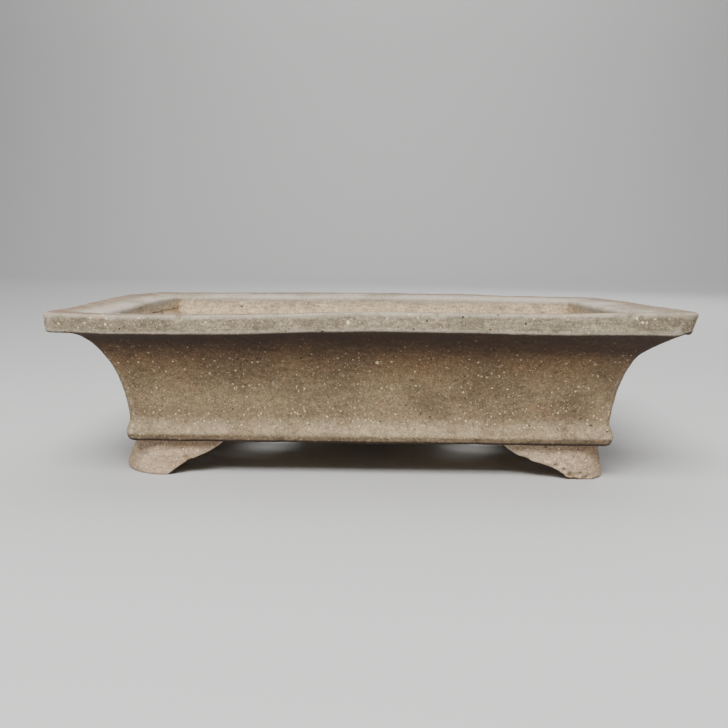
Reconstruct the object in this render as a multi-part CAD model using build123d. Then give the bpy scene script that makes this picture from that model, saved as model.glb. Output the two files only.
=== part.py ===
from build123d import *
import os

# Rectangular stoneware bonsai pot, built from slabs and strips of clay.
# Millimetres, +Z up, +X to the right, front at -Y.  It stands on z = 0, centred on x = y = 0.

# Overall size, over the lip.
length = 300.0
width = 195.0
height = 84.0

# Levels, from the table up.
foot_height = 17.8
floor_thick = 8.3
floor_top = foot_height + floor_thick
rim_thick = 8.8
rim_bottom = height - rim_thick

# Insets are measured in from the outer edge of the lip, and are the same on all four sides.
# Lip: a flat strip laid on the walls, dished slightly towards the soil.
rim_inner = 24.0
rim_crown = 3.0
rim_dish = 1.6
rim_corner = 6.0
rim_corner_inner = 4.0
rim_edge_top = 2.2
rim_edge_low = 1.5
rim_edge_inner = 1.8

# Walls: the hollow outside and the inside, each as (inset, height) control points of a Bezier curve.
wall_outside = [(2.3, rim_bottom), (21.9, 71.4), (27.5, 50.0), (29.3, floor_top)]
wall_inside = [(37.0, floor_top), (34.5, 52.0), (27.5, 65.5), (rim_inner, rim_bottom)]
wall_middle = 27.0
wall_corner = 5.0
wall_corner_inner = 4.0

# Belt: the bead moulding round the edge of the floor slab.
belt_outer = 28.1
belt_inner = 33.7
belt_corner = 5.0
belt_edge_top = 1.2
belt_edge_low = 2.8

# Seam coils: rolled clay pressed into the inside corner between floor and wall.
coil_back = 33.0
coil_toe = 45.0
coil_rise = 9.0
coil_hollow = (39.2, floor_top + 2.9)

# Bracket feet: bent slabs that flare outwards towards the table.
foot_inset = 30.6
foot_taper = 8.0
foot_thick = 10.0
foot_corner = 14.0
foot_corner_inner = 6.5
foot_edge = 1.0
# The cut edge of each leg, as (distance in from the outer end, height): a step, then an ogee.
foot_cut = [(18.2, 0), (23.5, 4.4), (28.5, 7), (35, 9.3), (42, 12.4), (47, 15.7), (49, foot_height)]

# Holes through the floor: two drains, and four for the wires that tie the tree down.
drain_radius = 12.0
drain_x = 58.0
wire_radius = 2.5
wire_x = 88.0
wire_y = 34.0

half_length = length / 2
half_width = width / 2
ridge = half_length - half_width


def rectangle_at(inset, level, corner=0.0):
    """A level rectangle at an inset from the lip, with sharp or rounded corners."""
    size = (length - 2 * inset, width - 2 * inset)
    outline = RectangleRounded(*size, corner) if corner else Rectangle(*size)
    return Pos(0, 0, level) * outline


def inset_of(point):
    """How far a point lies in from the outer edge of the lip."""
    return min(half_length - abs(point.X), half_width - abs(point.Y))


def frame_ring(profile):
    """Sweep a profile, drawn as (inset, height), round the four sides with mitred corners."""
    corners = [(-half_length, -half_width), (half_length, -half_width)]
    corners += [(half_length, half_width), (-half_length, half_width)]
    path = Wire.make_polygon(corners, close=True)
    start = Plane(origin=(0, -half_width, 0), x_dir=(0, 1, 0), z_dir=(1, 0, 0))
    return sweep(start * profile, path=path, transition=Transition.RIGHT)


def corner_seams(ring, low, high):
    """The rising edges on the four mitres whose middles lie between two insets."""
    found = []
    for edge in ring.edges():
        middle = edge.center()
        on_mitre = abs(abs(middle.X) - abs(middle.Y) - ridge) < 0.001
        if on_mitre and low < inset_of(middle) < high and edge.bounding_box().size.Z > 1:
            found.append(edge)
    return found


def edges_at(solid, level):
    """All the edges that lie at one height."""
    return solid.edges().filter_by_position(Axis.Z, level - 0.001, level + 0.001)


def four_sides(ring):
    """Cut a ring along the mitres into its front, back, left and right strips."""
    long_side = [(-half_length, -half_width), (half_length, -half_width), (ridge, 0), (-ridge, 0)]
    short_side = [(-half_length, half_width), (-half_length, -half_width), (-ridge, 0)]
    front = ring & extrude(make_face(Polyline(*long_side, close=True)), height)
    left = ring & extrude(make_face(Polyline(*short_side, close=True)), height)
    return {"front": front, "back": mirror(front, Plane.XZ), "left": left, "right": mirror(left, Plane.YZ)}


# Floor slab, with its holes.
floor_slab = extrude(rectangle_at(belt_inner, foot_height), floor_thick)
for side in (-1, 1):
    floor_slab -= Pos(side * drain_x, 0, 0) * extrude(Circle(drain_radius), height)
    for end in (-1, 1):
        floor_slab -= Pos(side * wire_x, end * wire_y, 0) * extrude(Circle(wire_radius), height)

# Walls.
wall_foot = Line(wall_outside[-1], wall_inside[0])
wall_head = Line(wall_inside[-1], wall_outside[0])
walls = frame_ring(make_face([Bezier(*wall_outside), wall_foot, Bezier(*wall_inside), wall_head]))
walls = fillet(corner_seams(walls, wall_outside[0][0], wall_middle), wall_corner)
walls = fillet(corner_seams(walls, wall_middle, wall_inside[0][0]), wall_corner_inner)

# Lip.
rim = extrude(rectangle_at(0, rim_bottom, rim_corner), rim_thick)
rim = fillet(edges_at(rim, height), rim_edge_top)
rim = fillet(edges_at(rim, rim_bottom), rim_edge_low)
rim -= loft([rectangle_at(rim_crown, height), rectangle_at(rim_inner + 4, height - rim_dish)], ruled=True)
rim -= extrude(rectangle_at(rim_inner, 0, rim_corner_inner), height)
mouth = [edge for edge in rim.edges() if inset_of(edge.center()) > rim_inner - 0.1 and edge.center().Z > 80]
rim = fillet(mouth, rim_edge_inner)

# Belt moulding.
belt = extrude(rectangle_at(belt_outer, foot_height, belt_corner), floor_thick)
belt = fillet(edges_at(belt, floor_top), belt_edge_top)
belt = fillet(edges_at(belt, foot_height), belt_edge_low)
belt -= extrude(rectangle_at(belt_inner, 0), height)

# Seam coils, which take the shape of the walls behind them.
coil_low = (coil_toe, floor_top)
coil_high = (coil_back, floor_top + coil_rise)
coil_edge = (wall_inside[0][0] - 0.6, floor_top + coil_rise)
coil_sides = Polyline(coil_edge, coil_high, (coil_back, floor_top), coil_low)
coils = frame_ring(make_face([coil_sides, ThreePointArc(coil_low, coil_hollow, coil_edge)])) - walls

# Feet: a flared bracket frame, cut to the template along both legs of each corner.
bracket = extrude(rectangle_at(foot_inset, 0, foot_corner), foot_height, taper=foot_taper)
bracket -= extrude(rectangle_at(foot_inset + foot_thick, 0, foot_corner_inner), foot_height, taper=foot_taper)


def leg_shape(outer_end):
    """The side view of one leg, from its cut edge out past its outer end, as (distance, height)."""
    cut = [(outer_end - reach, level) for reach, level in foot_cut]
    beyond = outer_end + foot_thick
    return make_face([Spline(*cut), Polyline(cut[-1], (beyond, foot_height), (beyond, 0), cut[0])])


long_leg = extrude(Plane.XZ * leg_shape(half_length - foot_inset), width)
short_leg = extrude(Plane.YZ * leg_shape(half_width - foot_inset), length)
foot = bracket & long_leg & mirror(short_leg, Plane.XZ)
foot = fillet(edges_at(foot, 0), foot_edge)
feet = {"foot_front_right": foot, "foot_front_left": mirror(foot, Plane.YZ)}
feet["foot_back_right"] = mirror(foot, Plane.XZ)
feet["foot_back_left"] = mirror(feet["foot_front_left"], Plane.XZ)

# One STEP file for each piece of clay.
pieces = {"floor_slab": floor_slab, **feet}
for name, ring in (("wall", walls), ("rim", rim), ("belt", belt), ("seam_coil", coils)):
    for side, strip in four_sides(ring).items():
        pieces[f"{name}_{side}"] = strip

os.makedirs("parts", exist_ok=True)
for name, piece in pieces.items():
    solid = piece.solids()[0]
    solid.label = name
    export_step(solid, f"parts/{name}.step")
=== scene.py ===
"""Rectangular stoneware bonsai pot: the looks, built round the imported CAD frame.

Lengths are in millimetres while a shape is worked out, and turn into metres when its mesh is made.
Insets are measured in from the outer edge of the lip, as the potter would measure them.
"""
import math

import bpy
import numpy as np
from mathutils import Euler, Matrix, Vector


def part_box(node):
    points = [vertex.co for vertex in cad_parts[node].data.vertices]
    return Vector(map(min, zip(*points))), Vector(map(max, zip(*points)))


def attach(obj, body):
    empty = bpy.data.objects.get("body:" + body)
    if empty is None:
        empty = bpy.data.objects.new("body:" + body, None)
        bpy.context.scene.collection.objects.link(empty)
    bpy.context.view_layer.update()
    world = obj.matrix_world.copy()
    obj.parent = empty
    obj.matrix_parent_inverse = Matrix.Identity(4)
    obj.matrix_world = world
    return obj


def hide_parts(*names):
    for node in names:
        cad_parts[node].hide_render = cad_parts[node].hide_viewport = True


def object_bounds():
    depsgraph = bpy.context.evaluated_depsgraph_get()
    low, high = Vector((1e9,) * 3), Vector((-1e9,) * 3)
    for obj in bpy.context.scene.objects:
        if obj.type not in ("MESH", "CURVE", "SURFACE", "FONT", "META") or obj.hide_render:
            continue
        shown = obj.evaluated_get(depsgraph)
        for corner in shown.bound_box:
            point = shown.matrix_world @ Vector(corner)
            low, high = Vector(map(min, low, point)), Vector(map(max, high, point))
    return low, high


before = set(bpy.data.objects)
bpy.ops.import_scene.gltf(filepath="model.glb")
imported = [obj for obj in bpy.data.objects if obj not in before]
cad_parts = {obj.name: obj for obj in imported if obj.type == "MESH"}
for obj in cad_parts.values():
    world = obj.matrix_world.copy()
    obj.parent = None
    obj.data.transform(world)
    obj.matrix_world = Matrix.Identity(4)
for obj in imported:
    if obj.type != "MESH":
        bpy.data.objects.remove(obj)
cad_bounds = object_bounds()

MM = 0.001

# Spacing of the points on the strips: outside, on the belt, inside, on the coils, and where they are
# hidden by another strip.
GRID = 0.7
BELT_GRID = 0.45
INSIDE_GRID = 0.9
COIL_GRID = 0.8
HIDDEN_GRID = 3.0
WALL_HEAD_GRID = 4.0


# ---------------------------------------------------------------- sizes

def box_mm(node):
    """Lowest and highest corner of a CAD node, in millimetres."""
    low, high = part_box(node)
    return np.array(low) / MM, np.array(high) / MM


# Read from the frame.
half_length = cad_bounds[1].x / MM
half_width = cad_bounds[1].y / MM
height = cad_bounds[1].z / MM
rim_bottom = box_mm("rim_front")[0][2]
floor_low, floor_high = box_mm("floor_slab")
foot_height = floor_low[2]
floor_top = floor_high[2]
belt_outer = half_width + box_mm("belt_front")[0][1]
belt_inner = half_width + floor_low[1]
coil_top = box_mm("seam_coil_front")[1][2]

# Insets of the mouth and of the feet at the ground, the same as in the CAD, and what follows from them.
mouth_inset = 24.0
foot_inset = 30.6
foot_end = half_length - foot_inset
foot_face = foot_inset - half_width

# Where the belt runs out into the cove, and where the wall and its coil end inside.
belt_top_inset = belt_outer + 0.8
wall_foot_inset = belt_inner + 3.3
coil_toe_inset = wall_foot_inset + 8.0


# ---------------------------------------------------------------- noise that depends on place only

# Cells along each side of the noise lattice, after which it repeats.
LATTICE = 64


def turned(points, seed):
    """The points in a randomly turned frame, so that the noise lattice never lines up with the pot."""
    angles = np.random.default_rng(seed).uniform(0, 2 * math.pi, 3)
    return points @ np.array(Euler(angles).to_matrix()).T


def noise(points, size, seed):
    """Smooth noise from -1 to 1 with lumps about `size` across."""
    lattice = np.random.default_rng(seed).uniform(-1, 1, (LATTICE,) * 3).astype(np.float32)
    place = turned(points, seed) / size
    cell = np.floor(place).astype(np.int64)
    part = place - cell
    part = part * part * part * (part * (part * 6 - 15) + 10)
    total = np.zeros(points.shape[:-1])
    for corner in range(8):
        step = np.array([corner & 1, corner >> 1 & 1, corner >> 2])
        weight = np.where(step == 1, part, 1 - part).prod(-1)
        index = (cell + step) % LATTICE
        total += weight * lattice[index[..., 0], index[..., 1], index[..., 2]]
    return total


def layered_noise(points, size, seed, layers):
    """Noise with finer and weaker layers added to it."""
    return sum(noise(points, size / 2**n, seed + n) / 2**n for n in range(layers))


def spots(points, cell_size, radius, share, seed):
    """Round bumps from 0 to 1, at most one in each cell, in a share of the cells."""
    table = np.random.default_rng(seed).uniform(0, 1, (LATTICE, LATTICE, LATTICE, 5))
    place = turned(points, seed) / cell_size
    cell = np.floor(place).astype(np.int64)
    index = cell % LATTICE
    random = table[index[..., 0], index[..., 1], index[..., 2]]
    reach = radius / cell_size * (0.55 + 0.45 * random[..., 4])
    middle = reach[..., None] + (1 - 2 * reach[..., None]) * random[..., :3]
    distance = np.linalg.norm(place - cell - middle, axis=-1) / reach
    bump = np.clip(1 - distance * distance, 0, 1) ** 1.5
    return np.where(random[..., 3] < share, bump, 0.0)


def smooth_step(value, low, high):
    """0 below low, 1 above high, and a smooth rise between."""
    part = np.clip((value - low) / (high - low), 0, 1)
    return part * part * (3 - 2 * part)


# ---------------------------------------------------------------- the handmade shape

# Corners rubbed away by years of handling: (x, y, z, radius, depth).
WORN = [
    (half_length + 2, -half_width - 2, rim_bottom - 4.0, 14.0, 4.6),
    (half_length + 2, -half_width - 2, height + 2.0, 8.0, 1.6),
    (-half_length - 1, half_width + 1, rim_bottom - 2.0, 9.0, 1.4),
    (half_length + 1, half_width + 1, height + 2.0, 8.0, 0.9),
]

# Places where the clay is chipped, on the lip and then on the feet: (x, y, z, radius, depth).
CHIPS = [
    (half_length - 32, -half_width, height, 2.6, 0.7),
    (half_length - 118, -half_width, height, 2.2, 0.7),
    (-half_length + 64, -half_width, height, 2.4, 0.6),
    (-half_length, -half_width + 52, height, 3.0, 0.8),
    (half_length, half_width - 70, height, 3.4, 0.9),
    (40.0, half_width, height, 3.0, 0.7),
    (foot_end - 16.4, foot_face + 0.4, 0.6, 3.4, 1.7),
    (foot_end - 18.4, foot_face + 0.3, 3.2, 1.6, 1.3),
    (foot_end - 20.8, foot_face + 0.3, 5.2, 1.3, 1.1),
    (foot_end - 13.4, foot_face + 0.1, 3.0, 1.5, 1.3),
    (foot_end - 8.9, foot_face + 1.1, 1.6, 1.7, 1.2),
    (foot_end - 24.4, foot_face + 0.5, 7.4, 1.4, 1.0),
    (foot_end - 4.0, foot_face + 4.4, 6.4, 1.2, 1.1),
    (foot_end - 11.4, foot_face + 0.1, 0.0, 2.6, 1.5),
    (foot_end - 22.4, foot_face + 0.7, 1.2, 2.4, 0.9),
    (-foot_end + 29.4, foot_face + 1.9, 8.0, 2.4, 1.0),
    (foot_end - 38.4, foot_face + 2.4, 9.6, 2.6, 1.0),
    (-foot_end + 7.4, -foot_face - 0.9, 0.0, 3.0, 1.2),
]

# Big grains that stand proud of the clay: (x, y, z, radius).
PEBBLES = [
    (-88.0, half_width - mouth_inset, 77.0, 1.9),
    (24.0, -half_width + 0.6, height - 0.4, 1.1),
    (69.0, -half_width + 0.5, height - 0.5, 1.2),
    (112.0, -half_width + 0.4, height - 0.6, 1.1),
    (-121.0, -half_width + 0.8, height - 0.2, 1.0),
    (-46.5, -half_width + 27.0, 49.0, 1.3),
]


def relief(points):
    """How far the surface stands out at each point, from the hand of the potter and the coarse clay."""
    out = 0.20 * layered_noise(points, 36.0, 11, 2)
    out += 0.10 * layered_noise(points, 10.0, 21, 2)
    out += 0.07 * noise(points, 2.9, 31)
    out += 0.05 * noise(points, 1.5, 32)
    wiped = points * np.array([1 / 8, 1 / 8, 1.0])
    out += 0.03 * noise(wiped, 1.3, 41)
    out += 0.26 * spots(points, 7.0, 0.9, 0.75, 51)
    out += 0.16 * spots(points, 3.5, 0.6, 0.6, 52)
    out -= 0.38 * spots(points, 9.0, 0.9, 0.6, 61)
    out -= 0.22 * spots(points, 4.5, 0.7, 0.5, 62)
    for x, y, z, radius in PEBBLES:
        distance = np.linalg.norm(points - np.array([x, y, z]), axis=-1) / radius
        out += 0.55 * radius * np.clip(1 - distance * distance, 0, 1)
    return out


def chip_depth(points):
    """How deep the chips bite at each point."""
    depth = np.zeros(points.shape[:-1])
    for x, y, z, radius, deepest in WORN:
        distance = np.linalg.norm(points - np.array([x, y, z]), axis=-1) / radius
        depth += deepest * np.clip(1 - distance * distance, 0, 1) ** 1.5
    rough = 1 + 0.35 * noise(points, 1.6, 71)
    for x, y, z, radius, deepest in CHIPS:
        distance = np.linalg.norm(points - np.array([x, y, z]), axis=-1) / radius
        depth += deepest * rough * np.clip(1.15 - distance * distance, 0, 1)
    return depth


# How the pot moved in the kiln, in millimetres, nearly all of it at the lip. In turn: one diagonal down and
# the other up, the right end up, the back down, both ends down, and the middle of the left side up.
TWIST = -0.9
TILT = 0.85
LEAN = -0.9
SAG = -0.2
LEFT_BOW = 2.3

# Swellings of the lip and how far they reach: the middle of the front, the front left corner, and the back
# right corner, which drops.
FRONT_RISE, FRONT_REACH, FRONT_MIDDLE = 1.0, 45, 5
CORNER_RISE, CORNER_REACH = 1.8, 26
BACK_RIGHT_DROP, BACK_RIGHT_REACH = 1.7, 60

# Below the lip: the top of the wall's hollow sits lower at the right end, and so does the lip's lower edge.
HEEL = 0.9
RIGHT_DROOP = 1.3
HOLLOW_START = 60       # the height where both begin
LIP_BLEND = 4           # the height over which they reach the lip

# Unevenness with no plan behind it: the lip's waviness, and the whole pot's sway.
WAVE, WAVE_SIZE = 0.35, 42.0
SWAY, SWAY_SIZE = 0.45, 55.0


def swelling(distance, reach):
    """A smooth bump of height 1 that fades out round its middle."""
    return np.exp(-((distance / reach) ** 2))


def lip_lift(points, x, y):
    """How far the lip stands above or below its true level."""
    front = np.clip((1 - y) / 2, 0, 1) ** 2
    lift = TWIST * x * y + TILT * x + LEAN * y + SAG * x * x
    lift += FRONT_RISE * swelling(points[..., 0] - FRONT_MIDDLE, FRONT_REACH) * front
    lift += LEFT_BOW * (1 - y * y) * np.clip(-x, 0, 1) ** 4
    front_left = np.hypot(points[..., 0] + half_length, points[..., 1] + half_width)
    lift += CORNER_RISE * swelling(front_left, CORNER_REACH)
    back_right = np.hypot(points[..., 0] - half_length, points[..., 1] - half_width)
    lift -= BACK_RIGHT_DROP * swelling(back_right, BACK_RIGHT_REACH)
    return lift + WAVE * noise(points * np.array([1, 1, 0.1]), WAVE_SIZE, 81)


def warp(points):
    """The slight warp of drying and firing, which grows from the belt up to the lip."""
    x = points[..., 0] / half_length
    y = points[..., 1] / half_width
    z = points[..., 2]
    up_to_lip = smooth_step(z, HOLLOW_START, rim_bottom - LIP_BLEND)
    under_lip = up_to_lip * (1 - smooth_step(z, rim_bottom - LIP_BLEND, rim_bottom))
    droop = smooth_step(x, 0.1, 1.0) * up_to_lip * (1 - smooth_step(z, rim_bottom, height - 2))
    moved = points.copy()
    moved[..., 2] += lip_lift(points, x, y) * smooth_step(z, floor_top, height - 4) - HEEL * x * under_lip
    moved[..., 2] -= RIGHT_DROOP * droop
    sway = points * np.array([1, 1, 0.25])
    in_out = smooth_step(z, foot_height, height)
    moved[..., 0] += in_out * SWAY * noise(sway, SWAY_SIZE, 82)
    moved[..., 1] += in_out * SWAY * noise(sway, SWAY_SIZE, 83)
    return moved


# ---------------------------------------------------------------- profiles of the strips

def sampled(start, end, step):
    """Points along a straight line, without its end."""
    count = max(1, round(float(np.linalg.norm(end - start)) / step))
    return [start + (end - start) * n / count for n in range(count)]


def rounded(corners, radii, step):
    """A line through the corners with each one rounded to its radius, sampled every step."""
    corners = [np.array(c, float) for c in corners]
    line, place = [], corners[0]
    for before, corner, after, radius in zip(corners, corners[1:], corners[2:], radii):
        back = (before - corner) / np.linalg.norm(before - corner)
        ahead = (after - corner) / np.linalg.norm(after - corner)
        half = math.acos(float(np.clip(back @ ahead, -1, 1))) / 2
        reach = radius / math.tan(half)
        start, end = corner + back * reach, corner + ahead * reach
        centre = corner + (back + ahead) / np.linalg.norm(back + ahead) * radius / math.sin(half)
        line += sampled(place, start, step)
        first = math.atan2(*(start - centre)[::-1])
        turn = (math.atan2(*(end - centre)[::-1]) - first + math.pi) % (2 * math.pi) - math.pi
        count = max(3, round(abs(turn) * radius / step * 1.3))
        angles = [first + turn * n / count for n in range(count)]
        line += [centre + radius * np.array([math.cos(a), math.sin(a)]) for a in angles]
        place = end
    line += sampled(place, corners[-1], step)
    return np.array(line + [corners[-1]])


def bezier(controls, step):
    """A cubic Bezier curve sampled at even distances."""
    a, b, c, d = (np.array(p, float) for p in controls)
    t = np.linspace(0, 1, 400)[:, None]
    curve = (1 - t) ** 3 * a + 3 * t * (1 - t) ** 2 * b + 3 * t * t * (1 - t) * c + t**3 * d
    along = np.concatenate([[0], np.cumsum(np.linalg.norm(np.diff(curve, axis=0), axis=1))])
    even = np.linspace(0, along[-1], max(2, round(along[-1] / step)) + 1)
    return np.stack([np.interp(even, along, curve[:, n]) for n in range(2)], -1)


class Profile:
    """A closed outline of (inset, height) points, made of smooth runs that meet at sharp corners.

    It goes up the outside, in over the top, down the inside and back along the bottom.
    A run that another strip hides has no relief, and takes its corners from the runs that show.
    """

    def __init__(self, runs, corner_radius):
        points, relief_share, corner, follow_next, run_of = [], [], [], [], []
        inner = []
        for index, (run, share, inside) in enumerate(runs):
            previous_share = runs[index - 1][1]
            for number, point in enumerate(run[:-1]):
                first = number == 0
                points.append(point)
                relief_share.append(max(share, previous_share) if first else share)
                corner.append(first)
                follow_next.append(first and share > previous_share)
                inner.append(inside)
                run_of.append(index - 1 if first and previous_share > share else index)
        self.points = np.array(points)
        self.inner = np.array(inner, float)
        self.crown = np.zeros(len(points))
        self.run_of = np.array(run_of)
        self.share = np.array(relief_share, float)
        self.corner = np.array(corner)
        self.follow_next = np.array(follow_next)
        insets, radii = zip(*corner_radius)
        self.radius = np.interp(self.points[:, 0], insets, radii)

    def neighbour(self, reach):
        """Index of the point `reach` further on, or the last one before the run ends."""
        count = len(self.points)
        index = np.arange(count)
        found = index.copy()
        for _ in range(abs(reach)):
            step = (found + (1 if reach > 0 else -1)) % count
            found = np.where(self.run_of[step] == self.run_of[index], step, found)
        return found


# The lip: how far its lower edge hangs, how far its top falls towards the mouth, and the radii of its lower
# edge, upper edge, top and mouth.
LIP_HANG = 0.7
LIP_DISH = 1.5
LIP_RADII = [1.6, 1.4, 9.0, 2.4]

# Corner radii in plan, as (inset, radius). The belt's turn sharp further in, where nothing of it shows.
RIM_PLAN = [(0, 5.0), (2.4, 3.6), (mouth_inset, 4.2)]
WALL_PLAN = [(0, 4.5), (wall_foot_inset, 4.2)]
BELT_PLAN = [(belt_outer, 5.1), (belt_top_inset, 4.5), (belt_outer + 2.8, 2.3), (belt_inner, 0.4)]
COIL_PLAN = [(0, 4.0), (coil_toe_inset, 4.0)]


def rim_profile():
    """The lip: nearly flat underneath, a band with rounded edges, and a slightly dished top."""
    corners = [
        (5.0, rim_bottom),
        (0.5, rim_bottom - LIP_HANG),
        (0.0, height),
        (4.5, height + 0.1),
        (mouth_inset, height - LIP_DISH),
        (mouth_inset, rim_bottom),
    ]
    shown = rounded(corners, LIP_RADII, GRID)
    hidden = np.array(sampled(shown[-1], shown[0], HIDDEN_GRID) + [shown[0]])
    profile = Profile([(shown, 1.0, 0), (hidden, 0.0, 0)], RIM_PLAN)
    inset, level = profile.points.T
    above_wall = (level > rim_bottom + 0.5) | (inset > mouth_inset - 0.1)
    profile.inner = smooth_step(inset, 8, 21) * above_wall
    profile.crown = smooth_step(inset, 0.5, 1.8) * (level > height - 2.2)
    return profile


def wall_profile():
    """A wall: hollow outside with a small cove above the belt, and a plainer inside."""
    cove = [
        (belt_top_inset, floor_top),
        (belt_outer + 1.55, floor_top + 1.9),
        (belt_outer + 1.45, floor_top + 4.8),
    ]
    outside_top = (3.2, rim_bottom)
    hollow = bezier([cove[2], (27.6, 51.0), (21.4, 71.2), outside_top], GRID)
    outside = np.concatenate([bezier([cove[0], cove[1], cove[1], cove[2]], GRID)[:-1], hollow])
    inside_top = (mouth_inset, rim_bottom)
    inside_foot = (wall_foot_inset, floor_top)
    inside = bezier([inside_top, (mouth_inset + 0.3, 65.0), (34.5, 52.0), inside_foot], INSIDE_GRID)
    head = np.array(sampled(outside[-1], inside[0], WALL_HEAD_GRID) + [inside[0]])
    foot = np.array(sampled(inside[-1], outside[0], HIDDEN_GRID) + [outside[0]])
    runs = [(outside, 1.0, 0), (head, 0.0, 0), (inside, 1.0, 1), (foot, 0.0, 1)]
    profile = Profile(runs, WALL_PLAN)
    # The foot of the cove, which takes the painted highlight of the bead.
    profile.crown = 1 - smooth_step(profile.points[:, 1], floor_top + 1, floor_top + 7)
    return profile


def belt_profile():
    """The belt: a soft bead that runs out into the cove above it and turns under sharply."""
    corners = [
        (belt_inner, foot_height),
        (belt_outer + 0.7, foot_height),
        (belt_outer - 0.55, foot_height + 4.6),
        (belt_top_inset, floor_top),
    ]
    bead = rounded(corners, [2.5, 3.6], BELT_GRID)
    top_inner = np.array([belt_inner, floor_top])
    head = np.array(sampled(bead[-1], top_inner, HIDDEN_GRID) + [top_inner])
    back = np.array(sampled(top_inner, bead[0], HIDDEN_GRID) + [bead[0]])
    profile = Profile([(bead, 1.0, 0), (head, 0.0, 0), (back, 0.0, 0)], BELT_PLAN)
    # The top of the bead, where the painted highlight goes.
    profile.crown = smooth_step(profile.points[:, 1], foot_height + 2.0, foot_height + 5.5)
    return profile


def coil_profile():
    """A seam coil: a thumb's hollow between floor and wall, with its toe sunk in the floor."""
    sunk = floor_top - 0.5
    toe = np.array([coil_toe_inset + 1.0, sunk])
    top = np.array([wall_foot_inset - 1.3, coil_top])
    heel = np.array([wall_foot_inset, sunk])
    steep = (wall_foot_inset + 0.6, floor_top + 3.4)
    shallow = (wall_foot_inset + 3.4, floor_top + 0.6)
    hollow = bezier([top, steep, shallow, toe], COIL_GRID)
    foot = np.array(sampled(toe, heel, HIDDEN_GRID) + [heel])
    back = np.array(sampled(heel, top, HIDDEN_GRID) + [top])
    return Profile([(hollow, 1.0, 1), (foot, 0.0, 1), (back, 0.0, 1)], COIL_PLAN)


# ---------------------------------------------------------------- strips, mitred at the corners

SIDES = {"front": 0, "right": 1, "back": 2, "left": 3}
CORNER_STEPS = 6    # columns from the straight to the mitre, round half a corner
GHOSTS = 2          # spare columns beyond each mitre, used for normals and then dropped
MOUTH_BOW = 3.4     # how far the inside of the left wall is bowed out


def strip_grid(profile, side):
    """Base points of one side's strip, from mitre to mitre, with two spare columns beyond each."""
    quarter = SIDES[side]
    outward = np.array([(0, -1), (1, 0), (0, 1), (-1, 0)][quarter], float)
    along = np.array([-outward[1], outward[0]])
    half_along, half_out = (half_length, half_width) if quarter % 2 == 0 else (half_width, half_length)
    eighth = math.pi / 4
    turn = np.linspace(eighth, 0, CORNER_STEPS + 1)
    spare = eighth + (turn[0] - turn[1]) * np.arange(GHOSTS, 0, -1)
    straight = np.linspace(-1, 1, round(2 * half_along / GRID))
    angle = np.concatenate([-spare, -turn[:-1], 0 * straight, turn[:-1][::-1], spare[::-1]])
    end = np.ones(len(spare) + CORNER_STEPS)
    reach = np.concatenate([-end, straight, end])
    inset, level = profile.points.T
    radius = profile.radius
    run = reach[:, None] * (half_along - inset - radius) + radius * np.sin(angle)[:, None]
    out = (half_out - inset - radius) + radius * np.cos(angle)[:, None]
    flat = out[..., None] * outward + run[..., None] * along
    return np.concatenate([flat, np.broadcast_to(level, run.shape)[..., None]], -1)


def grid_normals(points, corner):
    """Normals of a strip before and after each profile point, which differ at its sharp corners."""
    across = points[2:] - points[:-2]
    middle = points[1:-1]
    ahead = np.roll(middle, -1, axis=1) - middle
    behind = middle - np.roll(middle, 1, axis=1)
    sharp = corner[None, :, None]
    before = np.cross(across, np.where(sharp, behind, ahead + behind))
    after = np.cross(across, np.where(sharp, ahead, ahead + behind))
    return tuple(n / np.linalg.norm(n, axis=-1, keepdims=True) for n in (before, after))


def bowed_mouth(points, inner):
    """The inside of the left wall stands a little further out than the others, up at the mouth."""
    left = smooth_step(-points[..., 0], 90, 122) * smooth_step(points[..., 2], 40, rim_bottom)
    bowed = points.copy()
    bowed[..., 0] -= MOUTH_BOW * inner * left
    return bowed


def shape_strip(profile, side):
    """Final points and normals of one side's strip, with relief, chips and warp."""
    base = bowed_mouth(strip_grid(profile, side), profile.inner)
    before, after = grid_normals(base, profile.corner)
    lead = np.where(profile.follow_next[None, :, None], after, before)
    base = base[1:-1]
    push = profile.share * (relief(base) - chip_depth(base))
    shaped = warp(base + push[..., None] * lead)
    before, after = grid_normals(shaped, profile.corner)
    return shaped[1:-1], before, after


def grid_convexity(points, normals, profile):
    """How far each point stands out from its neighbours a few steps away: edges up, hollows down."""
    reach = 3
    along = np.concatenate([points[:1]] * reach + [points] + [points[-1:]] * reach)
    neighbours = points[:, profile.neighbour(reach)] + points[:, profile.neighbour(-reach)]
    neighbours += along[2 * reach:] + along[:-2 * reach]
    return ((points - neighbours / 4) * normals).sum(-1)


def painted_shade(points, normals):
    """1 where the surface hangs over, under the lip or the belt, and 0 in the open: the mask of the painted
    shade there.
    """
    down = -normals[..., 2]
    level = points[..., 2]
    under_lip = smooth_step(down, 0.12, 0.85) * smooth_step(level, 52, 67)
    under_lip *= np.where(level > rim_bottom - 1.5, smooth_step(down, 0.40, 0.85), 1.0)
    under_belt = smooth_step(down, 0.05, 0.60) * (level < floor_top)
    return under_lip + under_belt


def add_float_attribute(mesh, name, values):
    """Store one number for each vertex, for the material to read."""
    attribute = mesh.attributes.new(name, "FLOAT", "POINT")
    attribute.data.foreach_set("value", np.ascontiguousarray(values, np.float32).ravel())


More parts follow.
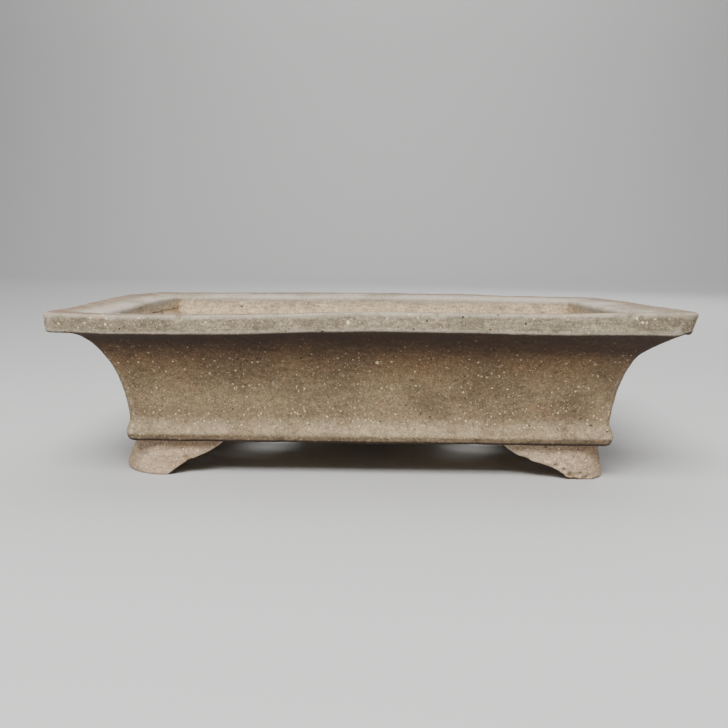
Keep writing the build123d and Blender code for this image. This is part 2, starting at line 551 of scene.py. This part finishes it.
def strip_piece(profile, side, name):
    """One side's strip as a closed mesh whose shading runs on across the mitres."""
    points, before, after = shape_strip(profile, side)
    columns, rows = points.shape[:2]
    index = np.arange(columns * rows).reshape(columns, rows)
    next_row = np.roll(index, -1, axis=1)
    quads = np.stack([index[:-1], index[1:], next_row[1:], next_row[:-1]], -1).reshape(-1, 4)
    caps = [index[0].tolist(), index[-1][::-1].tolist()]
    mesh = bpy.data.meshes.new(name)
    mesh.from_pydata((points.reshape(-1, 3) * MM).tolist(), [], quads.tolist() + caps)
    following = np.roll(before, -1, axis=1)
    quad_normals = np.stack([after[:-1], after[1:], following[1:], following[:-1]], 2).reshape(-1, 3)
    cap_normals = [np.array(mesh.polygons[len(quads) + n].normal) for n in range(2)]
    loops = np.concatenate([quad_normals] + [np.tile(n, (rows, 1)) for n in cap_normals])
    mesh.polygons.foreach_set("use_smooth", np.ones(len(mesh.polygons), bool))
    mesh.normals_split_custom_set(loops.tolist())
    lead = np.where(profile.follow_next[None, :, None], after, before)
    add_float_attribute(mesh, "convexity", grid_convexity(points, lead, profile))
    add_float_attribute(mesh, "inner", np.broadcast_to(profile.inner, (columns, rows)))
    add_float_attribute(mesh, "crown", np.broadcast_to(profile.crown, (columns, rows)))
    add_float_attribute(mesh, "painted_shade", painted_shade(points, lead))
    return bpy.data.objects.new(name, mesh)


# ---------------------------------------------------------------- feet and floor, from the CAD solids

FOOT_VOXEL = 0.55
FLOOR_VOXEL = 0.9
FOOT_OVERLAP = 1.6      # how far a foot reaches up into the belt, so that no gap shows


def remeshed(node, voxel, raise_top, smoothing):
    """Vertices and quads of a CAD node as an even, softened skin."""
    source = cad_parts[node].data.copy()
    top = max(v.co.z for v in source.vertices)
    for vertex in source.vertices:
        if vertex.co.z > top - 0.01 * MM:
            vertex.co.z += raise_top * MM
    stand_in = bpy.data.objects.new("stand_in", source)
    bpy.context.scene.collection.objects.link(stand_in)
    weld = stand_in.modifiers.new("weld", "WELD")
    weld.merge_threshold = 0.01 * MM
    remesh = stand_in.modifiers.new("remesh", "REMESH")
    remesh.mode = "VOXEL"
    remesh.voxel_size = voxel * MM
    soften = stand_in.modifiers.new("soften", "SMOOTH")
    soften.iterations = smoothing
    result = stand_in.evaluated_get(bpy.context.evaluated_depsgraph_get()).to_mesh()
    points = np.array([v.co for v in result.vertices]) / MM
    quads = [list(p.vertices) for p in result.polygons]
    normals = np.array([v.normal for v in result.vertices])
    edges = np.array([e.vertices for e in result.edges])
    bpy.data.objects.remove(stand_in)
    return points, quads, normals, edges


def spread(values, edges, times):
    """Average each vertex with its neighbours, several times over."""
    for _ in range(times):
        total = np.zeros_like(values)
        count = np.zeros(len(values))
        for a, b in ((0, 1), (1, 0)):
            np.add.at(total, edges[:, a], values[edges[:, b]])
            np.add.at(count, edges[:, a], 1)
        values = total / count[:, None]
    return values


# How far each foot's outer end flares at the ground.
FLARES = {"front_left": 9.4, "front_right": 1.0, "back_left": 3.0, "back_right": 2.2}
INNER_SLIP = 2.6        # how far the feet's cut ends sit to the left
SWEEP = 0.002           # how strongly a flaring corner curves back


def outer_flare(points, flare):
    """How far the outer end of a foot was pushed out along the pot, most of it at the ground."""
    out = smooth_step(np.abs(points[:, 0]), 98, 118)
    down = 1 - smooth_step(points[:, 2], -2, foot_height + 6)
    return np.sign(points[:, 0]) * flare * out * (0.35 + 0.65 * down)


def swept_back(points, flare):
    """How far the outer corner of a foot is drawn back, more where it flares more."""
    out = np.clip(np.abs(points[:, 0]) - 104, 0, None)
    toe = smooth_step(np.abs(points[:, 1]), 38, 60)
    return -np.sign(points[:, 1]) * SWEEP * flare * out**2 * toe


def inner_slip(points):
    """How far the cut ends of the feet are moved along the pot, all towards its left end."""
    inward = 1 - smooth_step(np.abs(points[:, 0]), 84, 104)
    return -INNER_SLIP * inward * smooth_step(points[:, 2], 3, 13)


def solid_piece(node, voxel, smoothing, raise_top=0.0, flare=0.0):
    """A CAD solid as a softened, pitted piece of clay."""
    name = f"clay_{node}"
    points, quads, normals, edges = remeshed(node, voxel, raise_top, smoothing)
    push = relief(points) - chip_depth(points)
    points = warp(points + push[:, None] * normals)
    if flare:
        points[:, 0] += outer_flare(points, flare) + inner_slip(points)
        points[:, 1] += swept_back(points, flare)
    convexity = ((points - spread(points, edges, 4)) * normals).sum(-1)
    mesh = bpy.data.meshes.new(name)
    mesh.from_pydata((points * MM).tolist(), [], quads)
    mesh.polygons.foreach_set("use_smooth", np.ones(len(mesh.polygons), bool))
    add_float_attribute(mesh, "convexity", convexity)
    add_float_attribute(mesh, "inner", smooth_step(points[:, 2], floor_top - 2, floor_top - 1))
    add_float_attribute(mesh, "painted_shade", np.zeros(len(points)))
    return bpy.data.objects.new(name, mesh)


# ---------------------------------------------------------------- materials

class Shader:
    """A material's node tree, with one short call for each kind of node it needs."""

    def __init__(self, name):
        self.material = bpy.data.materials.new(name)
        self.material.use_nodes = True
        self.tree = self.material.node_tree
        self.tree.nodes.clear()

    def node(self, kind, inputs=None, **settings):
        made = self.tree.nodes.new(kind)
        for key, value in settings.items():
            setattr(made, key, value)
        for key, value in (inputs or {}).items():
            self.feed(made.inputs[key], value)
        return made

    def feed(self, socket, value):
        if isinstance(value, bpy.types.NodeSocket):
            self.tree.links.new(value, socket)
        else:
            socket.default_value = value

    def math(self, operation, *values):
        return self.node("ShaderNodeMath", dict(enumerate(values)), operation=operation).outputs[0]

    def product(self, first, *others):
        """Several values multiplied together."""
        for other in others:
            first = self.math("MULTIPLY", first, other)
        return first

    def inverse(self, value):
        return self.math("SUBTRACT", 1.0, value)

    def attribute(self, name):
        """A number that the mesh stores for each vertex."""
        return self.node("ShaderNodeAttribute", attribute_name=name).outputs["Fac"]

    def place(self):
        """Place on the pot, in millimetres."""
        coordinates = self.node("ShaderNodeTexCoord").outputs["Object"]
        scaled = self.node("ShaderNodeVectorMath", {0: coordinates}, operation="SCALE")
        scaled.inputs["Scale"].default_value = 1 / MM
        return scaled.outputs[0]

    def noise(self, place, size, detail, roughness):
        inputs = {"Vector": place, "Scale": 1 / size, "Detail": detail, "Roughness": roughness}
        return self.node("ShaderNodeTexNoise", inputs).outputs[0]

    def stretched(self, place, factors):
        return self.node("ShaderNodeVectorMath", {0: place, 1: factors}, operation="MULTIPLY").outputs[0]

    def ramp(self, value, low, high, start=0.0, end=1.0):
        """A smooth step from start to end as the value goes from low to high."""
        inputs = {"Value": value, "From Min": low, "From Max": high, "To Min": start, "To Max": end}
        return self.node("ShaderNodeMapRange", inputs, interpolation_type="SMOOTHSTEP").outputs[0]

    def mix(self, amount, first, second, blend="MIX"):
        made = self.node("ShaderNodeMix", data_type="RGBA", blend_type=blend)
        self.feed(made.inputs[0], amount)
        self.feed(made.inputs[6], first)
        self.feed(made.inputs[7], second)
        return made.outputs[2]

    def jittered(self, place, size, amount):
        """The place shaken by noise, so that what is drawn there has ragged edges."""
        inputs = {"Vector": place, "Scale": 1 / size, "Detail": 2.0, "Roughness": 0.6}
        shake = self.node("ShaderNodeTexNoise", inputs).outputs["Color"]
        centred = self.node("ShaderNodeVectorMath", {0: shake, 1: (0.5, 0.5, 0.5)}, operation="SUBTRACT")
        scaled = self.node("ShaderNodeVectorMath", {0: centred.outputs[0]}, operation="SCALE")
        scaled.inputs["Scale"].default_value = amount
        shaken = self.node("ShaderNodeVectorMath", {0: place, 1: scaled.outputs[0]}, operation="ADD")
        return shaken.outputs[0]

    def grains(self, place, cell, radius, share, soft=0.35):
        """Round grains of uneven size, in a share of the cells: 1 inside a grain, 0 outside."""
        inputs = {"Vector": place, "Scale": 1 / cell, "Randomness": 1.0}
        cells = self.node("ShaderNodeTexVoronoi", inputs, feature="F1")
        parts = self.node("ShaderNodeSeparateColor", {0: cells.outputs["Color"]})
        reach = self.ramp(parts.outputs[1], 0.0, 1.0, 0.45 * radius / cell, radius / cell)
        inside = self.math("DIVIDE", self.math("SUBTRACT", reach, cells.outputs["Distance"]), reach)
        shape = self.ramp(inside, 0.0, soft)
        chosen = self.math("LESS_THAN", parts.outputs[0], share)
        return self.product(shape, chosen)

    def finished(self, inputs):
        """The material, with these inputs to its surface."""
        surface = self.node("ShaderNodeBsdfPrincipled", inputs)
        output = self.node("ShaderNodeOutputMaterial")
        self.tree.links.new(surface.outputs[0], output.inputs[0])
        return self.material


def colour(red, green, blue):
    return (red, green, blue, 1.0)


CREAM = colour(0.95, 0.80, 0.50)
PALE_CREAM = colour(0.64, 0.53, 0.36)
IRON = colour(0.030, 0.018, 0.012)
RUST = colour(0.52, 0.26, 0.12)
LIME = colour(0.50, 0.455, 0.385)
# Pale tan of worn edges, which also stands for the painted highlight along them.
PALE_EDGE_AND_HIGHLIGHT = colour(0.50, 0.43, 0.34)
OLD_SLIP = colour(0.205, 0.122, 0.090)
# Pale tan of the painted highlight on the belt's bead.
BEAD_HIGHLIGHT = colour(0.46, 0.368, 0.228)
# Near-black brown: the soil stain inside, the darkened hollows, and the painted shade under the lip and the
# belt.
SOOT_AND_SHADE = colour(0.030, 0.018, 0.014)
# The inside's tan, made lighter than its own colour as painted light where the inside lies in shade.
INNER_TAN = colour(0.76, 0.59, 0.39)
INNER_BROWN = colour(0.13, 0.092, 0.066)
UNDER_LIP_TINT_AND_SHADE = colour(0.74, 0.56, 0.45)


class ClayMaps:
    """The patterns and stored numbers that the steps of the clay's look share."""

    def __init__(self, s):
        self.place = s.place()
        self.clouds = s.noise(self.place, 30.0, 3.0, 0.5)
        self.patches = s.noise(self.place, 9.0, 3.0, 0.6)
        self.fine = s.noise(self.place, 1.9, 4.0, 0.72)
        self.sandy = s.noise(self.place, 0.75, 2.0, 0.7)
        self.wiped = s.noise(s.stretched(self.place, (1 / 5, 1 / 5, 1.0)), 1.5, 3.0, 0.65)
        self.gritty = s.jittered(self.place, 0.8, 1.5)
        self.cream = s.grains(self.gritty, 2.5, 0.56, 0.75)
        self.iron = s.grains(self.gritty, 4.2, 0.62, 0.50)
        self.axes = s.node("ShaderNodeSeparateXYZ", {0: self.place}).outputs
        self.level = self.axes[2]
        uneven = s.product(s.math("SUBTRACT", self.clouds, 0.5), 26.0)
        self.ragged = s.math("ADD", self.level, uneven)
        self.inner = s.attribute("inner")
        self.outer = s.inverse(self.inner)
        self.painted_shade_mask = s.attribute("painted_shade")
        self.convexity = s.attribute("convexity")
        self.crown = s.attribute("crown")


def fired_colour(s, maps, light_brown, dark_brown, red_brown):
    """Two browns in clouds with redder patches; outside, the clay grows redder and darker towards the lip,
    the darkening partly painted shade of the lip.
    """
    base = s.mix(s.ramp(maps.clouds, 0.36, 0.64), dark_brown, light_brown)
    base = s.mix(s.ramp(maps.patches, 0.48, 0.74, 0.0, 0.45), base, red_brown)
    below_lip = s.ramp(maps.level, rim_bottom + 2.0, rim_bottom - 1.0)
    # Outer wall below the lip is reddened and darkened, the darkening partly painted shade of the lip's
    # overhang.
    high = s.product(s.ramp(maps.ragged, 44.0, 72.0, 0.0, 0.85), maps.outer, below_lip)
    return s.mix(high, base, s.mix(1.0, base, UNDER_LIP_TINT_AND_SHADE, "MULTIPLY"))


def lined(s, maps, base, red_brown):
    """Inside, the wall is tan below the mouth, a tan set lighter than the clay as painted light on the
    shaded inside, and stained dark by soil lower down.
    """
    stained = s.mix(s.ramp(maps.patches, 0.30, 0.70), SOOT_AND_SHADE, INNER_BROWN)
    clean = s.mix(s.ramp(maps.patches, 0.40, 0.80, 0.0, 0.6), INNER_TAN, red_brown)
    lining = s.mix(s.ramp(maps.ragged, 40.0, rim_bottom), stained, clean)
    below_mouth = s.ramp(maps.level, height - 1.0, rim_bottom)
    return s.mix(s.product(maps.inner, below_mouth, 0.85), base, lining)


def painted_bead_highlight(s, maps, base):
    """Painted highlight: the top of the belt's bead and the cove above it are made pale, as if lit from
    above.
    """
    amount = s.product(maps.crown, maps.outer, s.ramp(maps.patches, 0.30, 0.62, 0.20, 0.60))
    return s.mix(amount, base, BEAD_HIGHLIGHT)


def toned(s, maps, base, streaks):
    """Light and dark from the sandy skin and from the streaks of a wiping hand."""
    skin = s.ramp(maps.fine, 0.28, 0.72, 0.74, 1.26)
    sand = s.ramp(maps.sandy, 0.30, 0.70, 0.72, 1.28)
    tone = s.product(skin, sand, s.ramp(maps.wiped, 0.30, 0.70, 1 - streaks, 1 + streaks))
    shade = s.node("ShaderNodeCombineColor", {0: tone, 1: tone, 2: tone}).outputs[0]
    return s.mix(1.0, base, shade, "MULTIPLY")


def pale_edges_dark_hollows(s, maps, base):
    """Edges in the open are made pale, partly as wear and partly as a painted highlight, and hollows are
    darkened.
    """
    edges = s.product(s.ramp(maps.convexity, 0.04, 0.30), s.ramp(maps.patches, 0.30, 0.62, 0.50, 1.0))
    base = s.mix(s.product(edges, s.inverse(maps.painted_shade_mask), 0.60), base, PALE_EDGE_AND_HIGHLIGHT)
    hollows = s.ramp(maps.convexity, -0.10, -0.50)
    return s.mix(s.product(hollows, 0.45), base, SOOT_AND_SHADE)


def grained(s, maps, base, rust_share):
    """Grains of pale grog from dust to pebbles, iron specks and a few rust-coloured blooms."""
    layers = [
        (s.grains(s.jittered(maps.place, 3.0, 3.0), 16.0, 2.6, 0.45, 0.9), 0.35, RUST),
        (s.grains(maps.gritty, 1.2, 0.32, 0.60), 0.65, PALE_CREAM),
        (s.grains(maps.gritty, 1.8, 0.44, 0.65), 0.75, PALE_CREAM),
        (maps.cream, 0.95, CREAM),
        (s.grains(maps.gritty, 12.0, 1.15, 0.60), 0.95, CREAM),
        (s.grains(maps.gritty, 2.2, 0.60, rust_share), 0.70, RUST),
        (maps.iron, 0.85, IRON),
    ]
    for grains, strength, tint in layers:
        base = s.mix(s.product(grains, strength), base, tint)
    return base


def lip_inset(s, maps):
    """Distance in from the lip's outer edge, as a node value."""
    along = s.math("SUBTRACT", half_length, s.math("ABSOLUTE", maps.axes[0]))
    across = s.math("SUBTRACT", half_width, s.math("ABSOLUTE", maps.axes[1]))
    return s.math("MINIMUM", along, across)


def limed(s, maps, base, lime_amount):
    """Old red slip at the lip's outer edge, and lime left near the mouth by years of watering."""
    inset = lip_inset(s, maps)
    slip = s.product(maps.crown, s.ramp(inset, 15.0, 5.0), s.ramp(maps.fine, 0.30, 0.66, 0.45, 1.0))
    base = s.mix(s.product(slip, s.ramp(maps.patches, 0.30, 0.60, 0.45, 0.95)), base, OLD_SLIP)
    band = s.product(s.ramp(inset, 7.0, 17.0), s.ramp(maps.level, rim_bottom + 0.5, rim_bottom + 6))
    cloudy = s.product(band, s.ramp(maps.clouds, 0.30, 0.62, 0.30, 1.0))
    lime = s.product(cloudy, s.ramp(maps.fine, 0.25, 0.65, 0.45, 1.0), lime_amount)
    return s.mix(lime, base, LIME)


def clay_bump(s, maps):
    """A sandy, wiped skin with the pale grains proud of it and the iron specks sunk in."""
    grit = s.noise(maps.place, 0.6, 2.0, 0.6)
    raised = s.product(maps.fine, 0.35)
    for pattern, amount in [(grit, 0.16), (maps.wiped, 0.12), (maps.cream, 0.14), (maps.iron, -0.25)]:
        raised = s.math("ADD", raised, s.product(pattern, amount))
    bump = s.node("ShaderNodeBump", {"Height": raised, "Strength": 0.9, "Distance": 1.0 * MM})
    return bump.outputs[0]


def stoneware(name, light_brown, dark_brown, red_brown, streaks, lime_amount=0.0, rust_share=0.10):
    """Coarse unglazed clay. A lime_amount makes it the lip's, with old slip and lime on it."""
    s = Shader(name)
    maps = ClayMaps(s)
    base = fired_colour(s, maps, light_brown, dark_brown, red_brown)
    base = lined(s, maps, base, red_brown)
    if not lime_amount:
        # Painted highlight on the belt's bead, for the body and the feet.
        base = painted_bead_highlight(s, maps, base)
    base = toned(s, maps, base, streaks)
    base = pale_edges_dark_hollows(s, maps, base)
    base = grained(s, maps, base, rust_share)
    # Painted shade: where the surface hangs over, under the lip and under the belt's bead, the colour is
    # darkened nearly to black.
    base = s.mix(s.product(maps.painted_shade_mask, 0.93), base, SOOT_AND_SHADE)
    if lime_amount:
        base = limed(s, maps, base, lime_amount)
    return s.finished({
        "Base Color": base,
        "Roughness": s.ramp(maps.fine, 0.2, 0.8, 0.92, 0.74),
        "Specular IOR Level": 0.28,
        "Normal": clay_bump(s, maps),
    })


body_clay = stoneware(
    "stoneware_body",
    light_brown=colour(0.314, 0.228, 0.132),
    dark_brown=colour(0.210, 0.148, 0.087),
    red_brown=colour(0.270, 0.160, 0.100),
    streaks=0.10,
)
lip_clay = stoneware(
    "stoneware_lip",
    light_brown=colour(0.303, 0.254, 0.174),
    dark_brown=colour(0.208, 0.168, 0.110),
    red_brown=colour(0.260, 0.180, 0.130),
    streaks=0.24,
    lime_amount=0.75,
)
# The feet are lighter than the body: partly their own colour, partly painted light for the light they catch
# from the floor and the front.
foot_clay = stoneware(
    "stoneware_feet",
    light_brown=colour(0.515, 0.382, 0.255),
    dark_brown=colour(0.400, 0.280, 0.180),
    red_brown=colour(0.450, 0.280, 0.175),
    streaks=0.14,
    rust_share=0.40,
)


# ---------------------------------------------------------------- the pieces

def place_piece(piece, node, material):
    """Show a piece instead of its CAD node."""
    bpy.context.scene.collection.objects.link(piece)
    piece.data.materials.append(material)
    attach(piece, "root")
    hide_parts(node)


def build_strips():
    kinds = {
        "rim": (rim_profile(), "stoneware_lip", lip_clay),
        "wall": (wall_profile(), "stoneware_body", body_clay),
        "belt": (belt_profile(), "stoneware_body", body_clay),
        "seam_coil": (coil_profile(), "stoneware_body", body_clay),
    }
    for kind, (profile, slot, material) in kinds.items():
        for side in SIDES:
            piece = strip_piece(profile, side, f"clay_{kind}_{side}")
            place_piece(piece, f"{kind}_{side}", material)


def build_feet():
    for end in ("front", "back"):
        for side in ("left", "right"):
            node = f"foot_{end}_{side}"
            flare = FLARES[f"{end}_{side}"]
            piece = solid_piece(node, FOOT_VOXEL, smoothing=5, raise_top=FOOT_OVERLAP, flare=flare)
            place_piece(piece, node, foot_clay)


def build_floor():
    piece = solid_piece("floor_slab", FLOOR_VOXEL, smoothing=2)
    place_piece(piece, "floor_slab", body_clay)


build_strips()
build_feet()
build_floor()


# ---------------------------------------------------------------- studio

def plain_material(name, value, roughness):
    return Shader(name).finished({"Base Color": colour(*value), "Roughness": roughness})


def build_backdrop():
    """A pale floor that curves up into a pale wall well behind the pot."""
    half_wide, near, far, bend, tall = 9.0, -9.0, 2.2, 1.0, 3.5
    bend_steps = 24
    line = [(near, 0.0), (far, 0.0)]
    for step in range(1, bend_steps + 1):
        angle = math.pi / 2 * step / bend_steps
        line.append((far + bend * math.sin(angle), bend * (1 - math.cos(angle))))
    line.append((far + bend, tall))
    points = [(side * half_wide, y, z) for y, z in line for side in (-1, 1)]
    faces = [(2 * n, 2 * n + 1, 2 * n + 3, 2 * n + 2) for n in range(len(line) - 1)]
    mesh = bpy.data.meshes.new("backdrop")
    mesh.from_pydata(points, [], faces)
    mesh.polygons.foreach_set("use_smooth", np.ones(len(faces), bool))
    backdrop = bpy.data.objects.new("backdrop", mesh)
    bpy.context.scene.collection.objects.link(backdrop)
    mesh.materials.append(plain_material("pale_paper", (0.56, 0.56, 0.55), 0.9))


def add_light(name, place, target, size, watts):
    light = bpy.data.lights.new(name, "AREA")
    light.shape = "RECTANGLE"
    light.size, light.size_y = size
    light.energy = watts
    lamp = bpy.data.objects.new(name, light)
    lamp.location = place
    lamp.rotation_euler = (Vector(target) - Vector(place)).to_track_quat("-Z", "Y").to_euler()
    bpy.context.scene.collection.objects.link(lamp)


def build_lights():
    middle = (0.0, 0.0, 0.04)
    add_light("key", (-0.15, -0.80, 1.05), middle, (0.9, 0.55), 28.0)
    add_light("top", (0.1, 0.25, 1.3), middle, (1.4, 1.0), 8.0)
    add_light("behind", (0.5, 1.25, 0.85), middle, (1.2, 0.8), 9.0)
    add_light("wash", (0.0, 1.5, 1.9), (0.0, 3.2, 0.9), (2.5, 0.5), 40.0)
    world = bpy.data.worlds.new("studio")
    world.use_nodes = True
    background = world.node_tree.nodes["Background"]
    background.inputs["Color"].default_value = colour(0.92, 0.96, 1.0)
    background.inputs["Strength"].default_value = 0.20
    bpy.context.scene.world = world


def build_camera():
    """A close, slightly raised view of the long front side, as a hand-held phone sees it."""
    pixels_across = 728
    focal_in_pixels = 820.7
    camera = bpy.data.cameras.new("camera")
    camera.sensor_width = 36.0
    camera.lens = camera.sensor_width * focal_in_pixels / pixels_across
    camera.clip_start = 0.01
    eye = bpy.data.objects.new("camera", camera)
    eye.location = (0.0100, -0.4676, 0.1165)
    heading, downward, roll = math.radians(1.72), math.radians(8.32), math.radians(0.30)
    aim = Euler((math.pi / 2 - downward, 0.0, heading)).to_matrix()
    eye.rotation_euler = (aim @ Euler((0.0, 0.0, roll)).to_matrix()).to_euler()
    bpy.context.scene.collection.objects.link(eye)
    bpy.context.scene.camera = eye


build_backdrop()
build_lights()
build_camera()
